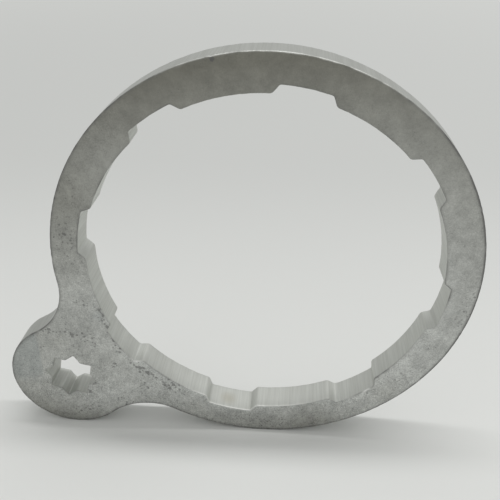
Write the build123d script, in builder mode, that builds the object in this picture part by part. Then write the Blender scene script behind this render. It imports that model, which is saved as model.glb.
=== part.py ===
from build123d import *

import math
import os

# Wrench for the screwed cap of a filter bowl, in millimetres: one flat plate, cut as a ring with
# an ear. The ring's mouth slips over the cap, and a ratchet's square drive goes into the ear.
# It stands on edge, as it comes to rest, with ring and ear on one level. The origin is the mouth's
# centre at mid-thickness, the mouth's axis is Y, the front looks towards -Y, and Z is up.

plate_thickness = 10.0

# Mouth: pads that seat on the cap, with pockets between them that clear the cap's ribs
pad_radius = 56.1
pad_corner_radius = 1.6
pocket_count = 8
pocket_depth = 2.6
pocket_floor_width = 14.8
pocket_flank_lean = 29.0  # degrees off the radius
pocket_corner_radius = 0.8
mouth_turn = -0.8  # degrees from the arm's line to the nearest pocket's middle

# Ring: metal left outside the pockets
rim_width = 8.8

# Ear: a socket for a 12.7 mm square drive, cut as two squares that cross at 45 degrees
drive_across_flats = 12.9
socket_tip_radius = 0.3
socket_ridge_radius = 0.5
socket_turn = -2.3  # degrees from the arm's line to the nearest tip
ear_wall = 12.1  # metal outside the socket's tips
ear_standoff = 15.0  # from the ring's outside to the socket's middle
neck_radius = 21.0

# Edges broken after cutting
outer_edge_break = 0.5
inner_edge_break = 0.3

# Sizes that follow from those above
pocket_radius = pad_radius + pocket_depth
ring_radius = pocket_radius + rim_width
ear_radius = drive_across_flats / math.sqrt(2) + ear_wall
arm_length = ring_radius + ear_standoff

# The arm's line runs from the mouth's middle to the socket's, down to the left, as steep as sets
# ring and ear on one level. Both planes face forward, with their own x along that line.
arm_drop = ring_radius - ear_radius
arm_run = math.sqrt(arm_length**2 - arm_drop**2)
arm_line = Vector(-arm_run, 0, -arm_drop)
forward = Vector(0, -1, 0)
mouth_plane = Plane(origin=(0, 0, 0), x_dir=arm_line, z_dir=forward)
socket_plane = Plane(origin=arm_line, x_dir=arm_line, z_dir=forward)

# A pocket is a trapezoid that starts inside the pad circle and ends outside the pocket circle,
# which then rounds its floor. Its sides lean, so its root is wider than its floor.
pocket_root = pad_radius - pocket_depth
pocket_end = pocket_radius + pocket_depth
pocket_floor_middle = math.sqrt(pocket_radius**2 - (pocket_floor_width / 2) ** 2)
flank_spread = (pocket_floor_middle - pocket_root) * math.tan(math.radians(pocket_flank_lean))
pocket_root_width = pocket_floor_width + 2 * flank_spread

with BuildPart() as filter_wrench:
    # Plate: ring and ear in one outline, with a hollow neck on each side
    with BuildSketch(mouth_plane) as plate:
        Circle(ring_radius)
        with Locations((arm_length, 0)):
            Circle(ear_radius)
        neck_corners = plate.vertices().sort_by(Axis.Y)
        fillet([neck_corners[0], neck_corners[-1]], neck_radius)
    extrude(amount=plate_thickness / 2, both=True)

    # Mouth
    with BuildSketch(mouth_plane) as mouth:
        with PolarLocations((pocket_root + pocket_end) / 2, pocket_count, start_angle=mouth_turn):
            Trapezoid(
                pocket_root_width,
                pocket_end - pocket_root,
                90 - pocket_flank_lean,
                rotation=-90,
            )
        Circle(pocket_radius, mode=Mode.INTERSECT)
        Circle(pad_radius)
        fillet(mouth.vertices().group_by(SortBy.DISTANCE)[0], pad_corner_radius)
        fillet(mouth.vertices().group_by(SortBy.DISTANCE)[-1], pocket_corner_radius)
    extrude(amount=plate_thickness / 2, both=True, mode=Mode.SUBTRACT)

    # Drive socket: tips point outwards, and ridges stand between them
    with BuildSketch(socket_plane) as socket:
        for turn in (0, 45):
            Rectangle(drive_across_flats, drive_across_flats, rotation=socket_turn + turn)
        fillet(socket.vertices().group_by(SortBy.DISTANCE)[0], socket_ridge_radius)
        fillet(socket.vertices().group_by(SortBy.DISTANCE)[-1], socket_tip_radius)
    extrude(amount=plate_thickness / 2, both=True, mode=Mode.SUBTRACT)

    # Broken edges, front and back
    sides = filter_wrench.faces().filter_by(Axis.Y).group_by(Axis.Y)
    outer_edges = [side.outer_wire().edges() for side in sides[0] + sides[-1]]
    chamfer(outer_edges, outer_edge_break)
    sides = filter_wrench.faces().filter_by(Axis.Y).group_by(Axis.Y)
    inner_edges = [wire.edges() for side in sides[0] + sides[-1] for wire in side.inner_wires()]
    chamfer(inner_edges, inner_edge_break)

filter_wrench.part.label = "filter_wrench"
os.makedirs("parts", exist_ok=True)
export_step(filter_wrench.part, "parts/filter_wrench.step")
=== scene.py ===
import math

import bpy
import numpy as np
from mathutils import Matrix


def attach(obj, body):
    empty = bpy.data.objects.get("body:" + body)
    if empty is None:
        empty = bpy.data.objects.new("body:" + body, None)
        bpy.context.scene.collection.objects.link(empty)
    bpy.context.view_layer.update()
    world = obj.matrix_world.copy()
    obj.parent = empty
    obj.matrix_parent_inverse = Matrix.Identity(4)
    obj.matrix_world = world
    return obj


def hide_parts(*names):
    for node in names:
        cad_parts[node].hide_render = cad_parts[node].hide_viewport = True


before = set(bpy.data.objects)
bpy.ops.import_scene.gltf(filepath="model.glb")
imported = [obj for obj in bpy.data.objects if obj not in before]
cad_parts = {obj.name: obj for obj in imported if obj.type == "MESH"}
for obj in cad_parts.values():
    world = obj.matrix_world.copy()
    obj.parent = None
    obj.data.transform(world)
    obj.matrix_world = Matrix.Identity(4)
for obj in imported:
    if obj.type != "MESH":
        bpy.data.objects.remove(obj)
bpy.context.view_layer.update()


# Filter wrench
# The whole tool is one aluminium plate, 10 mm thick, cut through to a ring with an ear. The cut
# walls are light, with fine lines through the plate. The faces are duller, stained and pitted.

# Sizes are in millimetres until the mesh is written. Points of an outline are (u, v): u runs from
# the mouth's centre to the socket's, and v a quarter turn on, anticlockwise from the front.
half_thickness = 5.0
pad_radius = 56.1
pocket_radius = 58.7
ring_radius = 67.5
drive_across_flats, ear_wall = 12.9, 12.1
ear_radius = drive_across_flats / math.sqrt(2) + ear_wall
arm_length = ring_radius + 15.0
arm_angle = 180 + math.degrees(math.asin((ring_radius - ear_radius) / arm_length))
neck_radius = 21.0


def arc(centre, radius, start, end):
    """Points of a circle: centre + radius * (cos a, sin a), a going from start to end, degrees."""
    a = np.radians(np.linspace(start, end, 3 + int(abs(end - start) * radius)))
    return np.stack([centre[0] + radius * np.cos(a), centre[1] + radius * np.sin(a)], axis=1)


def turned(points, angle):
    """Points (u, v) turned by a degrees: (u cos a - v sin a, u sin a + v cos a)."""
    c, s = math.cos(math.radians(angle)), math.sin(math.radians(angle))
    return points @ np.array([[c, s], [-s, c]])


def mirrored_ring(half, count, first_angle):
    """A closed outline of count like parts. Each is half and its mirror image in the u axis."""
    part = np.concatenate([half[::-1] * [1, -1], half])
    return np.concatenate([turned(part, first_angle + k * 360 / count) for k in range(count)])


# Mouth: half a pocket, from its middle to the middle of the next pad. The two corners of a flank
# are rounded by circles that touch the flank's line and the pad's or the pocket's circle.
pocket_count, mouth_turn = 8, -0.8
half_share = 180 / pocket_count
flank_lean = 29.0
flank_normal = np.array([math.sin(math.radians(flank_lean)), math.cos(math.radians(flank_lean))])
flank_line = np.array([flank_normal[1], -flank_normal[0]])
floor_half_width = 7.4
floor_end = np.array([math.sqrt(pocket_radius**2 - floor_half_width**2), floor_half_width])
flank_distance = flank_normal @ floor_end


def rounding_centre(radius, distance):
    """The point at that radius from the mouth's centre and that far along the flank's normal."""
    return flank_normal * distance + flank_line * math.sqrt(radius**2 - distance**2)


pad_corner, pocket_corner = 1.6, 0.8
pad_centre = rounding_centre(pad_radius + pad_corner, flank_distance + pad_corner)
pocket_centre = rounding_centre(pocket_radius - pocket_corner, flank_distance - pocket_corner)
pad_angle = math.degrees(math.atan2(pad_centre[1], pad_centre[0]))
pocket_angle = math.degrees(math.atan2(pocket_centre[1], pocket_centre[0]))
half_pocket = np.concatenate([
    arc((0, 0), pocket_radius, 0, pocket_angle),
    arc(pocket_centre, pocket_corner, pocket_angle, 90 - flank_lean),
    arc(pad_centre, pad_corner, 270 - flank_lean, 180 + pad_angle),
    arc((0, 0), pad_radius, pad_angle, half_share),
])
mouth_path = mirrored_ring(half_pocket, pocket_count, mouth_turn)

# Socket: half a tip of the star, from its point to the middle of the next ridge
tip_count, socket_turn = 8, -2.3
half_tip_share = 180 / tip_count
half_square, tip_round, ridge_round = drive_across_flats / 2, 0.3, 0.5
tip_centre = (math.sqrt(2) * (half_square - tip_round), 0)
ridge_distance = (half_square + ridge_round) / math.cos(math.radians(half_tip_share))
ridge_centre = turned(np.array([ridge_distance, 0]), half_tip_share)
half_tip = np.concatenate([
    arc(tip_centre, tip_round, 0, 45),
    arc(ridge_centre, ridge_round, 225, 180 + half_tip_share),
])
socket_path = mirrored_ring(half_tip, tip_count, socket_turn)


def stations(path, spacing, count=None):
    """Points and outward normals along a closed path, as far apart as spacing says at each of its
    points: the path's length, divided by the spacing, is added up, and cut into equal steps."""
    ends = np.roll(path, -1, axis=0)
    tangent = ends - np.roll(path, 1, axis=0)
    steps = np.cumsum(np.linalg.norm(ends - path, axis=1) / spacing)
    count = count or round(steps[-1])
    at = np.arange(count) * steps[-1] / count
    known = np.concatenate([[0], steps])
    u, v, tu, tv = (
        np.interp(at, known, np.append(column, column[0]))
        for column in (path[:, 0], path[:, 1], tangent[:, 0], tangent[:, 1])
    )
    normal = np.stack([tv, -tu], axis=1)
    return np.stack([u, v], axis=1), normal / np.linalg.norm(normal, axis=1, keepdims=True)


# Outline: a line across the neck parts the plate into a ring and an ear. Seen from its own centre,
# each has an outline that is a circle, then a neck's circle, then that line.
cut_distance = 66.5
neck_angle = math.acos(
    ((ring_radius + neck_radius) ** 2 + arm_length**2 - (ear_radius + neck_radius) ** 2)
    / (2 * (ring_radius + neck_radius) * arm_length)
)
neck_centre = (ring_radius + neck_radius) * np.array([math.cos(neck_angle), math.sin(neck_angle)])
outer_round, inner_round = 0.5, 0.3


def outline(angle, radius, neck, cut):
    """Points and outward normals of an outline moved in by outer_round, about a centre. Angle is
    from the arm, in radians. Beyond the neck it is a circle. Along the neck it is the near
    crossing of a ray with the neck's circle, b - sqrt(b^2 - |n|^2 + r^2), b being the ray's reach
    to the foot of the neck's centre n. On the cut it is cut / cos(angle). Last comes the angle at
    which the cut ends."""
    ray = np.stack([np.cos(angle), np.sin(angle)], axis=1)
    side = np.sign(angle + 1e-12)
    n = np.stack([np.full(len(angle), neck[0]), neck[1] * side], axis=1)
    b = np.sum(ray * n, axis=1)
    r = neck_radius + outer_round
    near = b - np.sqrt(np.maximum(b**2 - neck @ neck + r**2, 0))
    on_circle = np.abs(angle) > math.atan2(neck[1], neck[0])
    distance = np.where(on_circle, radius - outer_round, near)
    cut_angle = math.atan2(neck[1] - math.sqrt(r**2 - (neck[0] - cut) ** 2), cut)
    on_cut = np.abs(angle) < cut_angle - 1e-9
    distance = np.where(on_cut, cut / ray[:, 0], distance)
    points = ray * distance[:, None]
    normal = np.where(on_circle[:, None], ray, (n - points) / r)
    return points, normal, cut_angle


# Ring stations: even along pads and pockets, and closer on flanks and roundings. The station
# nearest each end of the cut is moved onto it.
flank_spacing, plain_spacing = 0.32, 0.58
path_angle = np.degrees(np.arctan2(mouth_path[:, 1], mouth_path[:, 0]))
off_middle = (path_angle - mouth_turn + half_share) % (2 * half_share) - half_share
on_flank = (np.abs(off_middle) > pocket_angle - 0.5) & (np.abs(off_middle) < pad_angle + 0.5)
mouth, mouth_normal = stations(mouth_path, np.where(on_flank, flank_spacing, plain_spacing))
mouth_edge = mouth + mouth_normal * inner_round
ring_angle = np.arctan2(mouth_edge[:, 1], mouth_edge[:, 0])
_, _, cut_angle = outline(ring_angle, ring_radius, neck_centre, cut_distance)
first = np.argmin(np.abs(ring_angle - cut_angle))
mouth, mouth_normal, mouth_edge = (
    np.roll(a, -first, axis=0) for a in (mouth, mouth_normal, mouth_edge)
)
ring_angle = np.roll(ring_angle, -first)
last = np.argmin(np.abs(ring_angle + cut_angle))
ring_angle[0], ring_angle[last] = cut_angle, -cut_angle
ring_edge, ring_normal, _ = outline(ring_angle, ring_radius, neck_centre, cut_distance)

# Ear stations: round the outline from one end of the cut to the other, then back along the cut.
# The socket has as many, and its first is the one nearest the line to the first of the outline.
ear_centre = np.array([arm_length, 0])
ear_neck = np.array([arm_length - neck_centre[0], neck_centre[1]])
ear_total = 272
ear_count = ear_total - (len(ring_edge) - last - 1)
ear_cut_angle = math.atan2(cut_distance * math.tan(cut_angle), arm_length - cut_distance)
ear_angle = np.linspace(ear_cut_angle, 2 * math.pi - ear_cut_angle, ear_count)
ear_angle = np.where(ear_angle > math.pi, ear_angle - 2 * math.pi, ear_angle)
ear_edge, ear_normal, _ = outline(ear_angle, ear_radius, ear_neck, arm_length - cut_distance)
ear_edge, ear_normal = ear_centre - ear_edge, -ear_normal
ear_edge[0], ear_edge[-1] = ring_edge[last], ring_edge[0]
socket, socket_normal = stations(socket_path, 1.0, ear_total)
towards_cut = (ear_edge[0] - ear_centre) / np.linalg.norm(ear_edge[0] - ear_centre)
off_cut = socket / np.linalg.norm(socket, axis=1, keepdims=True) - towards_cut
first = np.argmin(np.linalg.norm(off_cut, axis=1))
socket = np.roll(socket, -first, axis=0) + ear_centre
socket_normal = np.roll(socket_normal, -first, axis=0)


# Surfaces: each is a grid of stations by rows, with its points as (u, v, y). A wall's rows go round
# the front edge, through the plate and round the back edge. A face's rows go straight from the
# edge of its hole to the outline. Shared borders are the same points, and are joined afterwards.
surfaces = []


def noise(points, size, seed):
    """Smooth noise from -1 to 1. Random values at the corners of a cubic grid, made from whole
    numbers by multiplying and mixing bits, are blended by 3 f^2 - 2 f^3 along each axis."""
    grid = points / size
    cell = np.floor(grid).astype(np.int64)
    f = grid - cell
    f = f * f * (3 - 2 * f)
    total = np.zeros(len(points))
    for corner in np.ndindex(2, 2, 2):
        c = cell + corner
        h = c[:, 0] * 73856093 ^ c[:, 1] * 19349663 ^ c[:, 2] * 83492791 ^ seed * 2654435761
        h = (h ^ (h >> 13)) * 1274126177 & 0xFFFFFFFF
        h = (h ^ (h >> 16)) & 0xFFFF
        total += (h / 32767.5 - 1) * np.prod(np.where(corner, f, 1 - f), axis=1)
    return total


# A file has been over the ring's front edge, to both sides of filed_middle, in degrees. A burr
# is at a pocket's corner, given as (x, z). A line inside mid_ring belongs to the mouth.
filed_middle = 84.0
burr_place = (-43.9, -38.0)
mid_ring = 62.0
largest_round = 0.6


def edge_round(line, side):
    """Radius of the broken edge along a line, on the front (-1) or the back (1): about 0.22, with
    noise, and more by a bell curve of the angle where it was filed, and of the distance from the
    burr, up to largest_round."""
    front = turned(line, arm_angle)
    place = np.stack([front[:, 0], np.full(len(line), side * half_thickness), front[:, 1]], axis=1)
    off_top = np.degrees(np.arctan2(front[:, 1], front[:, 0])) - filed_middle
    on_outline = np.linalg.norm(line, axis=1) > mid_ring
    filed = np.exp(-((off_top / 30) ** 2)) * on_outline * (side < 0)
    off_burr = np.hypot(front[:, 0] - burr_place[0], front[:, 1] - burr_place[1])
    burr = np.exp(-((off_burr / 1.4) ** 2)) * (side < 0)
    uneven = 0.22 + 0.05 * noise(place, 2.3, 11) + filed * (0.22 + 0.22 * noise(place, 1.6, 12))
    return np.minimum(uneven + 0.3 * burr, largest_round)


def add_surface(points, wall, faces_out):
    """Keeps a grid for the mesh, with the share of wall, from 0 on a face to 1, for each point."""
    surfaces.append((points, np.broadcast_to(wall, points.shape[:2]), faces_out))


straight_rows = 17
straight_half = half_thickness - 0.65


def add_wall(line, inward, faces_out):
    """A wall along a closed line. Each edge is a quarter circle of radius r: inset r (1 - sin a),
    depth r (1 - cos a) for a from 0 to 90 degrees. Inward points into the metal. The straight rows
    between reach straight_half each way, which clears the largest round."""
    a = np.radians([0, 30, 60, 90])
    front, back = edge_round(line, -1)[:, None], edge_round(line, 1)[:, None]
    straight = np.linspace(-1, 1, straight_rows) * straight_half + 0 * front
    y = np.concatenate([
        front * (1 - np.cos(a)) - half_thickness, straight,
        half_thickness - back * (1 - np.cos(a[::-1])),
    ], axis=1)
    inset = np.concatenate([
        front * (1 - np.sin(a)), 0 * straight, back * (1 - np.sin(a[::-1])),
    ], axis=1)
    grid = line[:, None, :] + inward[:, None, :] * inset[:, :, None]
    share = np.concatenate([np.sin(a), np.ones(straight_rows), np.sin(a[::-1])])
    add_surface(np.concatenate([grid, y[:, :, None]], axis=2), share, faces_out)


def add_faces(inner, inner_normal, outer, outer_normal, rows):
    """The front and back faces between a hole's wall and the outline's: p + t (q - p), p being the
    hole's line and q the outline's, both set into the metal by the broken edge. One more row runs
    close to each edge. Outer normals are zero along the cut between ring and ear."""
    t = np.concatenate([[0, 0.015], np.linspace(0, 1, rows)[1:-1], [0.985, 1]])[None, :, None]
    for side in (-1, 1):
        p = inner + inner_normal * edge_round(inner, side)[:, None]
        q = outer - outer_normal * edge_round(outer, side)[:, None]
        grid = p[:, None, :] + (q - p)[:, None, :] * t
        level = np.full((*grid.shape[:2], 1), side * half_thickness)
        add_surface(np.concatenate([grid, level], axis=2), 0.0, side > 0)


# The outline's own line is outer_round outside ring_edge and ear_edge, except along the cut
ring_out = np.where(np.arange(len(ring_edge))[:, None] <= last, ring_normal, 0)
ring_line = ring_edge + ring_out * outer_round
ear_out = ear_normal.copy()
ear_out[0], ear_out[-1] = ring_normal[last], ring_normal[0]
ear_line = ear_edge + ear_out * outer_round
ear_line[0], ear_line[-1] = ring_line[last], ring_line[0]
add_wall(
    np.concatenate([ring_line[: last + 1], ear_line[1:-1]]),
    -np.concatenate([ring_out[: last + 1], ear_out[1:-1]]), False,
)
add_wall(mouth, mouth_normal, True)
add_wall(socket, socket_normal, True)
add_faces(mouth, mouth_normal, ring_line, ring_out, rows=17)
add_faces(
    socket, socket_normal, np.concatenate([ear_line, ring_line[:last:-1]]),
    np.concatenate([ear_out, ring_out[:last:-1]]), rows=19,
)

# The grids become one closed skin: each square joins two rows of two neighbouring stations, and
# points in the same place become one
corners, walls, quads, numbered = [], [], [], 0
for grid, wall, faces_out in surfaces:
    number = numbered + np.arange(grid.shape[0] * grid.shape[1]).reshape(grid.shape[:2])
    after = np.roll(number, -1, axis=0)
    square = np.stack([number[:, :-1], after[:, :-1], after[:, 1:], number[:, 1:]], axis=2)
    quads.append((square if faces_out else square[:, :, ::-1]).reshape(-1, 4))
    corners.append(grid.reshape(-1, 3))
    walls.append(wall.ravel())
    numbered += number.size
corners, walls, quads = (np.concatenate(part) for part in (corners, walls, quads))
_, kept, joined = np.unique(np.round(corners, 4), axis=0, return_index=True, return_inverse=True)
flat, depth_through, wall_share = corners[kept][:, :2], corners[kept][:, 2], walls[kept]
quads = joined.ravel()[quads]
front = turned(flat, arm_angle)
points = np.stack([front[:, 0], depth_through, front[:, 1]], axis=1)


# Wear: every mark is cut inwards, against the normals of the plain plate
def vertex_normals(points, quads):
    """Normals at the points: each face's diagonals give a cross product, and those of the faces
    round a point are added up and brought to length 1."""
    p = points[quads]
    facing = np.cross(p[:, 2] - p[:, 0], p[:, 3] - p[:, 1])
    total = np.stack([
        sum(np.bincount(quads[:, k], facing[:, axis], len(points)) for k in range(4))
        for axis in range(3)
    ], axis=1)
    return total / np.linalg.norm(total, axis=1, keepdims=True)


def edge_distance(flat, loops):
    """Distance of each point to the nearest station of some edges, a part of them at a time."""
    best = np.full(len(flat), 1e9)
    for part in np.array_split(loops, 24):
        gap = flat[:, None, :] - part[None, :, :]
        best = np.minimum(best, np.sqrt(np.min(np.sum(gap**2, axis=2), axis=1)))
    return best


outer_line = np.concatenate([ring_line[: last + 1], ear_line[1:-1]])
from_outer = edge_distance(flat, outer_line)
from_inner = edge_distance(flat, np.concatenate([mouth, socket]))
from_edge = np.minimum(from_outer, from_inner)
is_face = 1 - wall_share

# Pitted patches: x and z of the middle, the reach each way, a turn in degrees, how pitted, and the
# side, -1 being the front. A patch fades by a bell curve that is a fifth wider than its reach.
pitted_patches = [
    (-73, -26.5, 5.0, 1.6, 0, 0.85, -1), (-66, -27.5, 7.0, 2.2, 0, 0.7, -1),
    (-53.4, -22, 1.5, 7.0, -16, 1.0, -1), (-50, -32, 2.4, 5.0, -35, 0.85, -1),
    (-60.5, -14.5, 3.6, 2.2, 20, 0.72, -1), (-60, -29, 3.4, 2.6, 0, 0.78, -1),
    (-42, -42, 2.0, 6.0, -55, 0.9, -1), (-33, -48.5, 2.6, 8.0, -60, 0.85, -1),
    (-40, -49, 7.0, 5.0, -30, 0.62, -1), (-52, -40, 3.0, 2.0, 0, 0.6, -1),
    (-60.6, -48.6, 2.4, 1.8, 20, 0.85, -1), (-62, -53.5, 3.4, 1.2, 10, 0.8, -1),
    (-66, -62, 10.0, 2.6, -15, 0.6, -1), (-50, -57, 8.0, 3.0, 35, 0.6, -1),
    (-62, 10, 4.0, 14.0, 0, 0.55, -1), (-60, 25, 5.0, 8.0, 30, 0.5, -1),
    (63.5, -14, 3.5, 12.0, 15, 0.55, -1), (5, -63, 30.0, 3.0, 0, 0.5, -1),
    (48, -42, 14.0, 7.0, 45, 0.46, -1), (-22, 60, 30.0, 8.0, 20, 0.3, -1),
    (-70, -46, 14.0, 12.0, 0, 0.6, 1), (-48, -34, 9.0, 9.0, 0, 0.75, 1),
    (60, 12, 6.0, 24.0, 0, 0.55, 1), (0, 62, 40.0, 6.0, 0, 0.5, 1), (5, -62, 30.0, 5.0, 0, 0.55, 1),
]
pitted = np.full(len(points), 0.2) * is_face
for x, z, reach_x, reach_z, angle, amount, side in pitted_patches:
    off = turned(points[:, [0, 2]] - (x, z), angle) / (1.2 * reach_x, 1.2 * reach_z)
    fade = np.exp(-np.sum(off**2, axis=1))
    pitted = np.maximum(pitted, amount * fade * is_face * (points[:, 1] * side > 0))

# The bottom of the front is the most speckled, less so on its right, half way up. Tone goes from
# 0, dark and brownish, to 1, pale. The front's tone is painted light and shade: it is painted
# darkest at the top and lighter lower down, as its reflection of the surroundings, and painted dark
# along its lowest edge, the shade where it stands on the floor.
front_share = is_face * (points[:, 1] < 0)
low = np.clip(0.5 - points[:, 2] / 120, 0, 1)
smoother = 1 - 0.4 * (points[:, 0] > 0) * np.exp(-(((points[:, 2] - 5) / 30) ** 2))
speckled = is_face * np.where(points[:, 1] < 0, 0.25 + 0.9 * low * smoother, 0.6)
speckled = np.clip(speckled + 0.25 * noise(points, 16.0, 21) * is_face, 0.05, 1.3)
across, up = points[:, 0] / 60, points[:, 2] / 60
front_shade_and_stains = (
    0.91 + 0.02 * across - 0.38 * up - 0.2 * across**2 + 0.06 * across * up - 0.43 * up**2
    - 0.36 * np.exp(-(((points[:, 2] + 68) / 9) ** 2))
)
# Stains that darken or lighten the front: x and z of the middle, reach and amount
stains = [
    (-59, 20, 11, -0.2), (-62, 2, 9, -0.12), (17, -61, 8, -0.22), (42, -47, 5, -0.2),
    (-66, -62, 10, 0.15), (-52, -36, 20, -0.09), (-71, -31, 5, -0.08), (-46, 40, 9, 0.04),
    (-24, -58, 5, -0.1), (-56, -57, 9, 0.12),
]
for x, z, stain_reach, amount in stains:
    away = np.hypot(points[:, 0] - x, points[:, 2] - z)
    front_shade_and_stains += amount * np.exp(-((away / stain_reach) ** 2))
outer_wall_tone, plain_tone = 0.2, 0.56
is_outer_wall = wall_share * (from_outer < from_inner) > 0.5
tone = np.where(is_outer_wall, outer_wall_tone, plain_tone)
tone = tone + front_share * (front_shade_and_stains - plain_tone)

# The front's edges are bare where they were filed along the top, along the lowest part of the
# mouth, and at the burr and a dent. These pale edges are partly painted highlight, the glint of
# light on the rounded edges. Angles are in degrees round the mouth's centre.
polar = np.degrees(np.arctan2(points[:, 2], points[:, 0])) % 360
radius = np.hypot(points[:, 0], points[:, 2])
at_front = np.exp(-(((half_thickness + points[:, 1]) / 0.3) ** 2))
rim = np.exp(-((from_edge / 0.3) ** 2)) * at_front
off_top = polar - filed_middle
filed = np.exp(-((off_top / 30) ** 4)) * (radius > mid_ring)
filed = filed * (0.4 + 0.6 * noise(points, 2.2, 33))
scraped = np.exp(-(((polar - 262) / 20) ** 4)) * (radius < mid_ring)
scraped = scraped * (0.5 + 0.4 * noise(points, 4.0, 34))
dented = sum(
    np.exp(-((np.hypot(points[:, 0] - x, points[:, 2] - z) / reach) ** 2))
    for x, z, reach in ((*burr_place, 1.5), (36.1, -47.0, 1.3))
)
wide_rim = np.exp(-((from_edge / 0.5) ** 2)) * at_front
wide_rim = wide_rim * np.clip(1.1 + 0.8 * noise(points, 0.9, 35), 0, 1)
bare_and_highlight = np.maximum(rim * np.clip(filed + scraped, 0, 1), wide_rim * dented)

# Dirt sits along the rest of the front's edges, most on the right, and little where it was filed
# and on the neck above the ear. Along the lowest edges of the ring and the ear, next to the floor,
# this darkening is painted contact shade.
outer_rim = np.exp(-((from_outer / 0.6) ** 2)) * at_front * np.where(
    radius > mid_ring, 1.1 - 0.8 * np.exp(-((off_top / 36) ** 4)), 0.6
)
outer_rim = outer_rim * (1 + np.exp(-(((points[:, 0] - 67) / 12) ** 2)))
off_neck = np.hypot(points[:, 0] + 59, points[:, 2] + 17)
outer_rim = outer_rim * (1 - 0.65 * np.exp(-((off_neck / 11) ** 2)))
inner_rim = np.exp(-((from_inner / 0.4) ** 2)) * at_front
patchy = np.clip(0.45 + 0.9 * noise(points, 7.0, 32), 0.15, 1)
uneven_dirt_and_shade = np.clip(0.8 + 0.5 * noise(points, 1.8, 31), 0, 1)
dirt_and_contact_shade = np.clip(np.maximum(outer_rim, inner_rim * patchy) * uneven_dirt_and_shade - 1.6 * bare_and_highlight, 0, 1)

# Nicks: deeper marks on the edges, each a bowl with its x, y, z, radius and depth
nicks = np.array([
    (-13.8, -5, 66.2, 0.85, 0.35), (36.4, -5, -47.2, 0.9, 0.26), (-44.6, -5, -37.9, 0.8, 0.2),
    (-9.0, -5, 66.8, 0.6, 0.15), (24.0, -5, 63.2, 0.6, 0.15), (63.5, -5, 22.5, 0.5, 0.16),
    (-52.0, 5, 43.4, 0.8, 0.25), (12.0, 5, -67.0, 0.7, 0.2), (-66.0, 5, 12.5, 0.7, 0.2),
])
gap = np.linalg.norm(points[:, None, :] - nicks[None, :, :3], axis=2)
bowl = np.maximum(1 - (gap / nicks[:, 3]) ** 2, 0) ** 1.5
nick_depth, nicked = np.max(bowl * nicks[:, 4], axis=1), np.max(bowl, axis=1)

# Cutter lines run through the plate, so on the walls the noise is stretched along y
lines = noise(points * [1, 0.02, 1], 1.1, 3) * 0.004 + noise(points * [1, 0.04, 1], 3.4, 4) * 0.012
at_edge = np.exp(-((from_edge / 0.4) ** 2) - ((half_thickness - np.abs(points[:, 1])) / 0.4) ** 2)
edge_wear = (
    np.maximum(noise(points, 1.3, 5), 0) * 0.08 + np.maximum(noise(points, 0.7, 6), 0) * 0.06
)
least_sink = 0.02
sink = (
    least_sink
    + is_face * (noise(points, 11.0, 1) * 0.014 + noise(points, 3.1, 2) * 0.005)
    + wall_share * lines
    + at_edge * edge_wear
    + nick_depth
)
points = points - vertex_normals(points, quads) * np.maximum(sink, 0)[:, None]

plate_mesh = bpy.data.meshes.new("wrench_plate")
plate_mesh.vertices.add(len(points))
plate_mesh.vertices.foreach_set("co", (points / 1000).astype(np.float32).ravel())
plate_mesh.loops.add(quads.size)
plate_mesh.loops.foreach_set("vertex_index", quads.astype(np.int32).ravel())
plate_mesh.polygons.add(len(quads))
plate_mesh.polygons.foreach_set("loop_start", np.arange(0, quads.size, 4, dtype=np.int32))
plate_mesh.update(calc_edges=True)
plate_mesh.validate()
plate_mesh.shade_smooth()
for name, values in (
    ("wall", wall_share), ("pitted", pitted), ("nicked", nicked), ("speckled", speckled),
    ("tone", tone), ("dirt_and_contact_shade", dirt_and_contact_shade), ("bare_and_highlight", bare_and_highlight),
):
    layer = plate_mesh.attributes.new(name, "FLOAT", "POINT")
    layer.data.foreach_set("value", values.astype(np.float32))
plate = bpy.data.objects.new("wrench_plate", plate_mesh)
bpy.context.scene.collection.objects.link(plate)


# Aluminium: dull grey faces with clouds of stain and a fine grain, lighter walls with cutter lines
class Term:
    """A value in a material. Arithmetic on it adds Math nodes to the material."""

    def __init__(self, tree, socket):
        self.tree, self.socket = tree, socket

    def node(self, kind, settings=(), inputs=(), output=0):
        """Adds a node of that kind: its settings first, then each input's value or link."""
        made = self.tree.nodes.new(kind)
        for name, value in dict(settings).items():
            setattr(made, name, value)
        for name, value in dict(inputs).items():
            if isinstance(value, Term):
                self.tree.links.new(value.socket, made.inputs[name])
            else:
                made.inputs[name].default_value = value
        return Term(self.tree, made.outputs[output])

    def maths(self, operation, *values):
        return self.node("ShaderNodeMath", {"operation": operation}, dict(enumerate(values)))

    def __add__(self, other):
        return self.maths("ADD", self, other)

    def __sub__(self, other):
        return self.maths("SUBTRACT", self, other)

    def __rsub__(self, other):
        return self.maths("SUBTRACT", other, self)

    def __mul__(self, other):
        return self.maths("MULTIPLY", self, other)

    __radd__, __rmul__ = __add__, __mul__

    def between(self, low, high):
        """0 up to low, 1 from high on, and smooth in between."""
        return self.node(
            "ShaderNodeMapRange", {"interpolation_type": "SMOOTHSTEP"},
            {"Value": self, "From Min": low, "From Max": high},
        )


aluminium = bpy.data.materials.new("aluminium_plate")
aluminium.use_nodes = True
tree = aluminium.node_tree
shader = tree.nodes["Principled BSDF"]
add = Term(tree, None).node
place = add("ShaderNodeTexCoord", output="Object")


def carried(name):
    """The value of that name which the mesh carries at its points."""
    return add("ShaderNodeAttribute", {"attribute_name": name}, output="Fac")


wall = carried("wall").between(0.3, 0.9)
pitted_here, nicked_here, speckled_here = carried("pitted"), carried("nicked"), carried("speckled")
tone_here, dirt_and_contact_shade_here, bare_and_highlight_here = carried("tone"), carried("dirt_and_contact_shade"), carried("bare_and_highlight")


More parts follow.
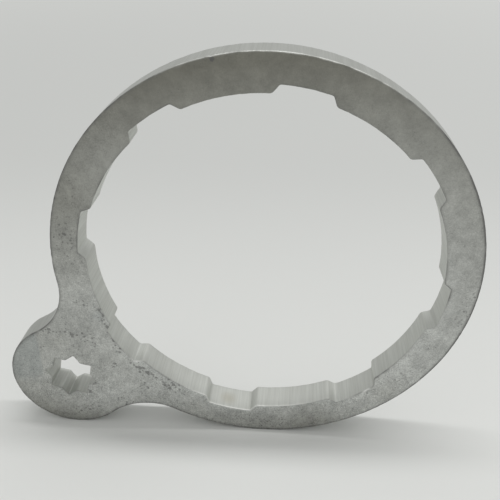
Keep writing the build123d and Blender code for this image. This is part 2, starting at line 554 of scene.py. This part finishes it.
def clouds(scale, detail=3.0, roughness=0.55, stretch=(1, 1, 1), shift=(0, 0, 0)):
    """Noise from 0 to 1 on the piece's own coordinates, with scale patches to the metre."""
    at = add("ShaderNodeMapping", {}, {"Vector": place, "Scale": stretch, "Location": shift})
    return add("ShaderNodeTexNoise", {}, {
        "Vector": at, "Scale": scale, "Detail": detail, "Roughness": roughness,
    })


def blended(factor, a, b):
    """A colour that goes from a, where the factor is 0, to b, where it is 1."""
    return add("ShaderNodeMix", {"data_type": "RGBA"}, {0: factor, 6: a, 7: b}, 2)


def scaled(colour, factor):
    """A colour with each of its parts multiplied by the factor."""
    return add("ShaderNodeVectorMath", {"operation": "SCALE"}, {0: colour, "Scale": factor})


# Pits: a spot in each cell of a random pattern, where its own random number is below how pitted
# the place is, and bigger the further below. The pattern is bent a little, so no spot is round.
bend = add("ShaderNodeTexNoise", {}, {"Vector": place, "Scale": 1400.0, "Detail": 2.0}, 1)
bent = add("ShaderNodeVectorMath", {"operation": "MULTIPLY_ADD"}, {
    0: bend, 1: (0.0009, 0.0009, 0.0009), 2: place,
})
place_x = add("ShaderNodeSeparateXYZ", {}, {0: place})


def spots(scale, size):
    """1 inside the pits and 0 outside, with scale cells to the metre."""
    cell = {"Vector": bent, "Scale": scale}
    away = add("ShaderNodeTexVoronoi", {}, cell)
    chance = add("ShaderNodeTexVoronoi", {}, cell, 1)
    radius = (pitted_here - chance) * size + 0.02
    return (radius - away).between(-0.09, 0.09)


def near(x, y, z, reach, sharpness=0.5):
    """1 at a point, given in millimetres, and 0 beyond its reach."""
    away = add("ShaderNodeVectorMath", {"operation": "DISTANCE"}, {
        0: bent, 1: (x / 1000, y / 1000, z / 1000),
    }, "Value")
    return away.between(reach / 1000, reach * sharpness / 1000)


pits = add("ShaderNodeClamp", {}, {"Value": spots(600, 0.85) + 0.8 * spots(1100, 0.9)})
stain = clouds(75, 3.0) - 0.5
mottle = clouds(260, 3.0, shift=(3, 1, 2)) - 0.5
blotch = clouds(800, 3.0, 0.6, shift=(2, 8, 1)) - 0.5
grain = clouds(2200, 2.0, 0.8, shift=(1, 5, 2)) - 0.5
speck = clouds(1500, 2.0, 0.6, shift=(7, 2, 4)).between(0.58, 0.72)
uneven = 0.4 * stain + (0.38 + 0.25 * speckled_here) * mottle
uneven = uneven + (0.15 + 0.5 * speckled_here) * blotch
uneven = uneven + (0.15 + 1.25 * speckled_here) * grain - 0.26 * speckled_here * speck
# The front's tone, which holds its painted shade and painted reflection, blends between these greys
brown_grey, pale_grey = (0.255, 0.251, 0.221, 1), (0.632, 0.642, 0.628, 1)
face_colour = scaled(blended(tone_here, brown_grey, pale_grey), uneven + 1.01)

# A bluish smudge at the left of the ear, and a small one on the neck
smudge = near(-85, -5, -36, 15, 0.6) * place_x.between(-0.0775, -0.0785)
smudge = smudge + near(-54.6, -5, -19.5, 3.2, 0.2) * 0.6
face_colour = blended(smudge * 0.3, face_colour, (0.36, 0.40, 0.41, 1))

# Walls: fine and broad lines through the plate, and one brown stain at the bottom of the mouth
lines_here = clouds(1700, 2.0, 0.6, stretch=(1, 0.03, 1)).between(0.3, 0.7)
broad_lines = clouds(260, 3.0, 0.6, stretch=(1, 0.06, 1), shift=(4, 0, 1)).between(0.35, 0.7)
wall_colour = blended(lines_here * 0.6, (0.66, 0.67, 0.64, 1), (0.56, 0.57, 0.54, 1))
wall_colour = blended(broad_lines * 0.35, wall_colour, (0.50, 0.505, 0.475, 1))
wall_colour = blended(near(-12.5, 0, -57.6, 4.5, 0.1) * 0.45, wall_colour, (0.44, 0.41, 0.33, 1))
wall_colour = scaled(wall_colour, 0.5 * tone_here + 0.68)

# Pits, nicks, dirt and painted contact shade are dark, and freshly bared metal and painted edge
# highlights are bright
colour = blended(wall, face_colour, wall_colour)
nick = near(-13.2, -5, 65.6, 1.0, 0.7) * 1.3 + near(36.6, -5, -47.4, 0.8)
nick = nick + near(-52.2, -5, -17.6, 0.8)
dark = pits * (1 - wall) * 0.6 + nick * 0.7 + nicked_here * 0.4 + dirt_and_contact_shade_here * 0.95
colour = blended(add("ShaderNodeClamp", {}, {"Value": dark}), colour, (0.17, 0.17, 0.165, 1))
# Bared metal, and the painted highlight on those edges, is pale
colour = blended(bare_and_highlight_here, colour, (0.9, 0.9, 0.88, 1))

# The faces are duller than the walls
face_roughness = 0.62 + 0.1 * grain + 0.08 * stain - 0.15 * dirt_and_contact_shade_here
roughness = face_roughness * (1 - wall) + (0.57 + 0.06 * lines_here) * wall - 0.12 * bare_and_highlight_here
face_height = grain * 0.35 + mottle * 0.25 - pits * 1.2
height = face_height * (1 - wall) + lines_here * (0.3 * wall)
bump = add("ShaderNodeBump", {}, {"Strength": 0.4, "Distance": 0.0001, "Height": height})
for name, value in (("Base Color", colour), ("Roughness", roughness), ("Normal", bump)):
    tree.links.new(value.socket, shader.inputs[name])
shader.inputs["Metallic"].default_value = 1.0
plate_mesh.materials.append(aluminium)

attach(plate, "root")
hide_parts("filter_wrench")


# Floor
# A plain pale sheet, level under the wrench, which stands on the ring's lowest point and the ear's.
# The sheet is painted a little greyer behind the wrench than in front, a painted shade, and paler
# again far away.
floor_level, sheet_reach = -ring_radius / 1000, 12.0
floor_mesh = bpy.data.meshes.new("floor")
floor_mesh.from_pydata(
    [
        (x * sheet_reach, y * sheet_reach, floor_level)
        for x, y in ((-1, -1), (1, -1), (1, 1), (-1, 1))
    ],
    [], [(0, 1, 2, 3)],
)
floor = bpy.data.objects.new("floor", floor_mesh)
bpy.context.scene.collection.objects.link(floor)
sheet = bpy.data.materials.new("pale_sheet")
sheet.use_nodes = True
sheet_shader = sheet.node_tree.nodes["Principled BSDF"]
add = Term(sheet.node_tree, None).node
on_floor = add("ShaderNodeTexCoord", output="Object")
painted_shade_behind = add("ShaderNodeSeparateXYZ", {}, {0: on_floor}, "Y").between(-0.02, 0.27)
far = add("ShaderNodeVectorMath", {"operation": "LENGTH"}, {0: on_floor}, "Value").between(0.3, 2.0)
sheet_colour = blended(painted_shade_behind, (0.725, 0.73, 0.715, 1), (0.595, 0.6, 0.588, 1))
sheet_colour = blended(far, sheet_colour, (0.89, 0.895, 0.88, 1))
sheet.node_tree.links.new(sheet_colour.socket, sheet_shader.inputs["Base Color"])
sheet_shader.inputs["Roughness"].default_value = 0.9
sheet_shader.inputs["Specular IOR Level"].default_value = 0.0
floor_mesh.materials.append(sheet)


# Light
# The wrench stands in a pale tent, a little brighter higher up. One long soft lamp overhead, a
# little behind the wrench, throws its shadow forwards.
lamp_data = bpy.data.lights.new("overhead_lamp", "AREA")
lamp_data.shape = "RECTANGLE"
lamp_data.size, lamp_data.size_y = 2.0, 0.12
lamp_data.energy = 11.6
lamp = bpy.data.objects.new("overhead_lamp", lamp_data)
lamp.location = (0.5, 0.145, 1.5)
bpy.context.scene.collection.objects.link(lamp)

tent = bpy.data.worlds.new("tent")
bpy.context.scene.world = tent
tent.use_nodes = True
tent_shader = tent.node_tree.nodes["Background"]
tent_shader.inputs["Color"].default_value = (0.99, 1.0, 0.985, 1)
add = Term(tent.node_tree, None).node
direction = add("ShaderNodeTexCoord", output="Generated")
height_seen = add("ShaderNodeSeparateXYZ", {}, {0: direction}, "Z")
strength = 0.57 + 0.08 * height_seen.between(0.1, 0.6)
tent.node_tree.links.new(strength.socket, tent_shader.inputs["Strength"])


# Camera
# It looks down on the front from a little to the right, turned slightly about its own axis.
camera_data = bpy.data.cameras.new("camera")
camera_data.lens = 45.96
camera_data.sensor_width = 36.0
camera_data.clip_start = 0.01
camera = bpy.data.objects.new("camera", camera_data)
camera.matrix_world = (
    Matrix.Translation((0.009839, -0.175152, 0.104225))
    @ Matrix.Rotation(math.radians(4.633), 4, "Z")
    @ Matrix.Rotation(math.radians(90 - 29.526), 4, "X")
    @ Matrix.Rotation(math.radians(-0.518), 4, "Z")
)
bpy.context.scene.collection.objects.link(camera)
bpy.context.scene.camera = camera
bpy.context.scene.view_settings.view_transform = "Standard"
